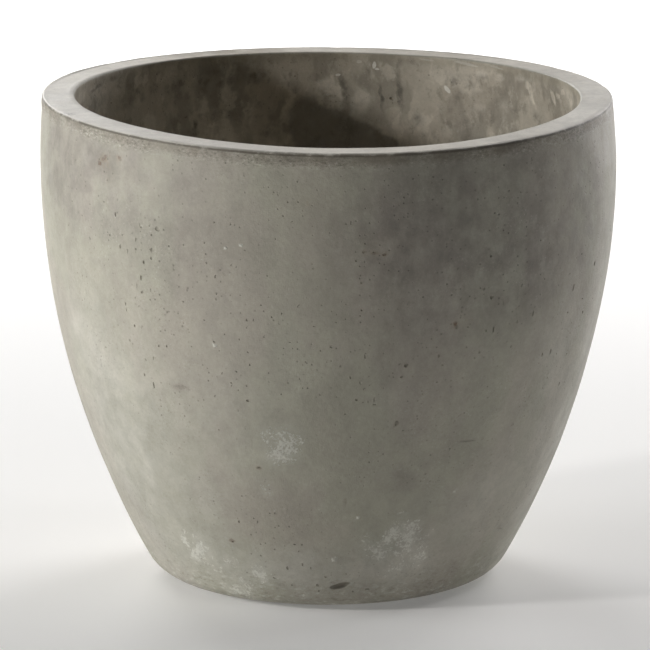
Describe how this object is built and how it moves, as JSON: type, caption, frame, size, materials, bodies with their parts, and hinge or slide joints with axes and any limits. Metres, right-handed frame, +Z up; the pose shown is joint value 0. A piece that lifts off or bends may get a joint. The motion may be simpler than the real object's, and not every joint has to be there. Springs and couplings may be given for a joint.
{
  "type": "concrete bowl planter",
  "caption": "Round thick-walled cast concrete bowl planter with a flat rim, a slightly closed-in mouth, a rounded foot on rubber pads and a pull-out drain stopper.",
  "frame": {"origin": "on the floor, at the middle of the four pads' undersides, on the bowl's axis", "axes": "+Z up along the bowl's axis; -Y towards the viewer of the picture, +X to the viewer's right"},
  "size_m": [0.4999, 0.5, 0.423],
  "materials": {
    "concrete": "matte",
    "wire_steel": "matte",
    "stopper_rubber": "matte",
    "pad_rubber": "matte"
  },
  "bodies": {
    "planter": {"shell": "concrete", "rim_hoop": "wire_steel", "belly_hoop": "wire_steel", "middle_hoop": "wire_steel", "lower_hoop": "wire_steel", "foot_hoop": "wire_steel", "stave_1": "wire_steel", "stave_2": "wire_steel", "stave_3": "wire_steel", "stave_4": "wire_steel", "stave_5": "wire_steel", "stave_6": "wire_steel", "stave_7": "wire_steel", "stave_8": "wire_steel", "floor_bar_1": "wire_steel", "floor_bar_2": "wire_steel", "floor_bar_3": "wire_steel", "floor_bar_4": "wire_steel", "drain_hoop": "wire_steel", "foot_pad_1": "pad_rubber", "foot_pad_2": "pad_rubber", "foot_pad_3": "pad_rubber", "foot_pad_4": "pad_rubber"},
    "stopper": {"drain_stopper": "stopper_rubber"}
  },
  "joints": [
    {"name": "stopper_lift", "type": "slide", "parent": "planter", "child": "stopper", "axis": [0, 0, 1], "range_m": [0, 0.06]}
  ]
}
